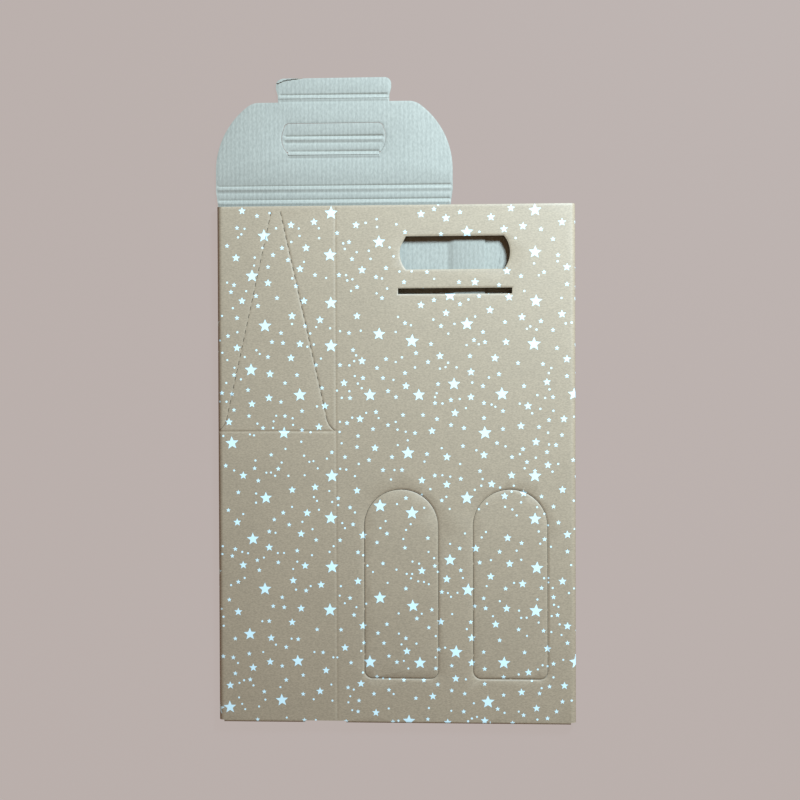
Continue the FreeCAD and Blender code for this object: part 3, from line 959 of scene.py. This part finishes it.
def unread(x, y):
    """Where the photo's own stars weren't read: low on the left panel's upper half."""
    return x > top_s(-SEAM) and (190 < y < 212 or y < 12)


stars = scatter(S_TOP - 3, S_LEFT + 3, 0, TUBE, 5, seen, unread)
stars += scatter(0, S_TOP - 4, -60, TUBE, 6)
stars += scatter(S_LEFT + 4, S_END, -60, ROOT, 7)
stars += scatter(S_TOP + 2, S_LEFT - 2, -60, -2, 8)

make_board("tube", [foot + head], holes, panes, tube_creases, lines, stars, tube_place,
           pane_sink, nodes=("carton",), body="carton")

for side, word in ((1, "right"), (-1, "left")):
    lines = strip_lines([HALF_TURN * n / TURN_STEPS for n in range(TURN_STEPS + 1)], 0, 62, "s")
    make_board(f"glued_corner_{word}", [GLUED_CORNER], lines=lines,
               stars=scatter(3, 60, 0, 29, 9 + side), place=corner_place(side),
               nodes=("carton",), body="carton")


# The lid: its spine, its panel, the grip and the tuck tab, joined by pressed creases.
def span(half):
    """From left to right, a stretch with the lid's middle in its own."""
    return LID_MIDDLE - half, LID_MIDDLE + half


lid_low, lid_high = span(LID_WIDTH / 2)
root_crease = Crease(ROOT, lid_low + SPINE_TAPER, lid_high - SPINE_TAPER)
lid_crease = Crease(LID_CREASE, lid_low + 1, lid_high - 1)
tab_crease = Crease(TAB_CREASE - 0.9, *span(41))
grip_root = Crease(GRIP_ROOT - 1.1, *span(GRIP_HALF), bead=0.6)
grip_crease = Crease(GRIP_CREASE - 1.1, *span(37.4), valley=0.78)
lid_creases = [root_crease, lid_crease, tab_crease, grip_root, grip_crease]

spine = [(lid_low + SPINE_TAPER, TUBE + 0.5), (-FOLD_LINE - 0.12, TUBE + 0.5),
         (-FOLD_LINE - 0.12, ROOT + CREASE_HALF), (SEAM - JOG + 0.12, ROOT + CREASE_HALF),
         (SEAM - JOG + 0.12, TUBE + 0.5), (lid_high - SPINE_TAPER, TUBE + 0.5),
         (lid_high, LID_CREASE - CREASE_HALF), (lid_low, LID_CREASE - CREASE_HALF)]
make_board("lid_spine", [spine], creases=lid_creases[:2],
           stars=scatter(lid_low, lid_high, ROOT, LID_CREASE, 20),
           nodes=("lid_spine",), body="lid_spine")

# Each shoulder is a large arc that runs into a small one.
turn_at = math.radians(CORNER_TURN)
corner_high = CORNER_SMALL + (CORNER_LARGE - CORNER_SMALL) * math.sin(turn_at)
corner_wide = CORNER_LARGE - (CORNER_LARGE - CORNER_SMALL) * math.cos(turn_at)
half = LID_WIDTH / 2
right = [(half, LID_CREASE + CREASE_HALF)]
right += arc_points(half - CORNER_LARGE, SHOULDER - corner_high, CORNER_LARGE, 0, CORNER_TURN, 4)
right += arc_points(half - corner_wide, SHOULDER - CORNER_SMALL, CORNER_SMALL,
                    CORNER_TURN, 90, 6)[1:]
right += [(NECK_HALF, SHOULDER), (NECK_HALF, TAB_CREASE - CREASE_HALF)]
lid = mirrored(right, LID_MIDDLE)


def grip_side(height):
    """Half the grip's width at a height above its root."""
    middle = GRIP_HEIGHT / 2
    radius = (middle ** 2 + GRIP_BULGE ** 2) / (2 * GRIP_BULGE)
    return GRIP_HALF + GRIP_BULGE - radius + math.sqrt(radius ** 2 - (height - middle) ** 2)


def grip_outline(low, high, spare=0, corner=0):
    """A stretch of the grip's outline, from one height above its root to another."""
    steps = 16
    right = [(grip_side(low + (high - low) * n / steps) + spare, GRIP_ROOT + low +
              (high - low) * n / steps) for n in range(steps + 1)]
    if corner:
        right = [p for p in right if p[1] < GRIP_ROOT + high - corner]
        wide = grip_side(high - corner) + spare
        right += arc_points(wide - corner, GRIP_ROOT + high - corner + spare, corner, 0, 90, 12)
    return mirrored(right, LID_MIDDLE)


grip_hole = [(x - 0.12, y + 0.1) for x, y in grip_outline(0, GRIP_HEIGHT, 0.3, GRIP_CORNER)]
grip_hole = ([(LID_MIDDLE + GRIP_HALF, GRIP_ROOT - CREASE_HALF)] + grip_hole +
             [(LID_MIDDLE - GRIP_HALF, GRIP_ROOT - CREASE_HALF)])
make_board("lid_panel", [lid], [grip_hole], creases=lid_creases + [
               Rim(lid, (-1,), 0.2), Rim(grip_hole, (1,), 0.3)],
           stars=scatter(lid_low, lid_high, LID_CREASE, SHOULDER, 21),
           nodes=("lid_panel",), body="lid_panel")

low = TAB_CREASE + CREASE_HALF
right = [(NECK_HALF, low), (TAB_HALF, low + TAB_CORNER)]
right += arc_points(TAB_HALF - TAB_CORNER, TAB_END - TAB_CORNER, TAB_CORNER, 0, 90, 10)
crack = [(44.8, -3.3), (43.6, -3.3), (42.8, -3.9), (41.4, -3.8), (40.6, -2.9), (39.3, -2.8),
         (38.1, -1.8), (36.4, -1.8), (35.2, -1.2), (32.6, -1.2), (31.2, -0.7), (27.6, -0.6),
         (26.2, -0.2), (23.4, -0.1)]
crack_width = 0.8
jagged = [(x, y + crack_width / 2) for x, y in crack]
jagged += [(x, y - crack_width / 2) for x, y in reversed(crack)]
lost = [(44.4, -2.2), (43.4, -1.9), (42.6, -2.2), (42.0, -1.0), (41.0, -1.2), (40.2, -0.3),
        (39.3, -0.4), (38.2, 0.3), (44.6, 0.3)]
torn, lost = ([(LID_MIDDLE - x, TAB_END + y) for x, y in line] for line in (jagged, lost))
tab = [(LID_MIDDLE + x, y) for x, y in right]
tab += [(LID_MIDDLE - x, y) for x, y in reversed(right)]
make_board("tuck_tab", [tab], [lost], creases=[tab_crease, Rim(tab, (-1,), 0.2)], torn=[torn],
           stars=scatter(*span(44), TAB_CREASE, TAB_END, 22),
           nodes=("tuck_tab",), body="tuck_tab")

make_board("grip_bridge", [grip_outline(CREASE_HALF, GRIP_BRIDGE - CREASE_HALF)],
           creases=[grip_root, grip_crease],
           stars=scatter(*span(40), GRIP_ROOT, GRIP_CREASE, 23),
           nodes=("grip_bridge",), body="grip_bridge")
make_board("grip_tip",
           [grip_outline(GRIP_BRIDGE + CREASE_HALF, GRIP_HEIGHT, 0, GRIP_CORNER)],
           creases=[grip_crease], stars=scatter(*span(40), GRIP_CREASE, GRIP_END, 24),
           nodes=("grip_tip",), body="grip_tip")

# The pressed strips, one across each joint, drawn where they lie at rest.
bends = [
    ("root", ROOT, -FOLD_LINE, SEAM - JOG, "carton", "lid_spine", [root_crease]),
    ("lid", LID_CREASE, lid_low, lid_high, "lid_spine", "lid_panel", [lid_crease]),
    ("tab", TAB_CREASE, *span(NECK_HALF), "lid_panel", "tuck_tab", [tab_crease]),
    ("grip_root", GRIP_ROOT, *span(GRIP_HALF), "lid_panel", "grip_bridge", [grip_root]),
    ("grip", GRIP_CREASE, *span(grip_side(GRIP_BRIDGE)), "grip_bridge", "grip_tip",
     [grip_crease]),
]
for name, y, low, high, first, second, creases in bends:
    start = ORIGIN + Vector((0, (y - CREASE_HALF) * MM, 0))
    end = ORIGIN + Vector((0, (y + CREASE_HALF) * MM, 0))
    make_board(f"crease_{name}", [rectangle(low, y - CREASE_HALF, high, y + CREASE_HALF)],
               creases=creases, stars=scatter(low, high, y - 1, y + 1, 30),
               blend=(first, second, start, end))

# The pale table under it, and the light of a window up on the right.
table_material = bpy.data.materials.new("pale_table")
table_material.use_nodes = True
tree = table_material.node_tree
tree.nodes.clear()
out = tree.nodes.new("ShaderNodeOutputMaterial")
mix = tree.nodes.new("ShaderNodeMixShader")
glow = tree.nodes.new("ShaderNodeEmission")
matte = tree.nodes.new("ShaderNodeBsdfDiffuse")
glow.inputs[0].default_value = linear(187, 176, 172)
matte.inputs[0].default_value = linear(187, 176, 172)
mix.inputs[0].default_value = 0.03
tree.links.new(glow.outputs[0], mix.inputs[1])
tree.links.new(matte.outputs[0], mix.inputs[2])
tree.links.new(mix.outputs[0], out.inputs[0])
floor_z = LOW[2] - 0.0004
TABLE_RADIUS = 8
WALL_TOP = 9
SECTORS = 64
rim = [(TABLE_RADIUS * math.cos(n * math.pi / (SECTORS / 2)),
        TABLE_RADIUS * math.sin(n * math.pi / (SECTORS / 2))) for n in range(SECTORS)]


def stage_mesh(name, points, faces, material):
    """A mesh that belongs to the stage and not to the carton."""
    mesh = bpy.data.meshes.new(name)
    mesh.from_pydata(points, [], faces)
    mesh.materials.append(material)
    thing = bpy.data.objects.new(name, mesh)
    bpy.context.scene.collection.objects.link(thing)
    return thing


stage_mesh("table", [(x, y, floor_z) for x, y in rim], [tuple(range(SECTORS))],
           table_material)
wall = stage_mesh("wall", [(x, y, z) for z in (floor_z, WALL_TOP) for x, y in rim],
                  [(n, n + SECTORS, (n + 1) % SECTORS + SECTORS, (n + 1) % SECTORS)
                   for n in range(SECTORS)], table_material)
wall.visible_diffuse = False
wall.visible_glossy = False
wall.visible_shadow = False

# Beneath the tube a darker sheet is painted shade: it stands for the table's shadow under the
# tube, seen through the holes and slits, so that the table's glow doesn't light the tube from
# inside.
painted_shade_material = bpy.data.materials.new("painted_table_shade")
painted_shade_material.use_nodes = True
painted_shade_material.node_tree.nodes["Principled BSDF"].inputs[0].default_value = (0.3, 0.28, 0.27, 1)
patch = rectangle(-131, 3, 131, TUBE - 4)
stage_mesh("painted_table_shade",
           [(ORIGIN.x + x * MM, ORIGIN.y + y * MM, floor_z + 0.0002) for x, y in patch],
           [(0, 1, 2, 3)], painted_shade_material)

lamp_data = bpy.data.lights.new("window", "AREA")
lamp_data.shape = "RECTANGLE"
lamp_data.size = 0.3
lamp_data.size_y = 0.22
lamp_data.energy = 24.4
lamp_data.color = (0.60, 0.81, 1)
lamp = bpy.data.objects.new("window", lamp_data)
lamp.location = (0.46, 0.585, 0.64)
lamp.rotation_euler = (-lamp.location).to_track_quat("-Z", "Y").to_euler()
bpy.context.scene.collection.objects.link(lamp)

world = bpy.data.worlds.new("world")
world.use_nodes = True
world.node_tree.nodes["Background"].inputs[0].default_value = (0.19, 0.125, 0.08, 1)
world.node_tree.nodes["Background"].inputs[1].default_value = 1
bpy.context.scene.world = world
bpy.context.scene.view_settings.view_transform = "Standard"
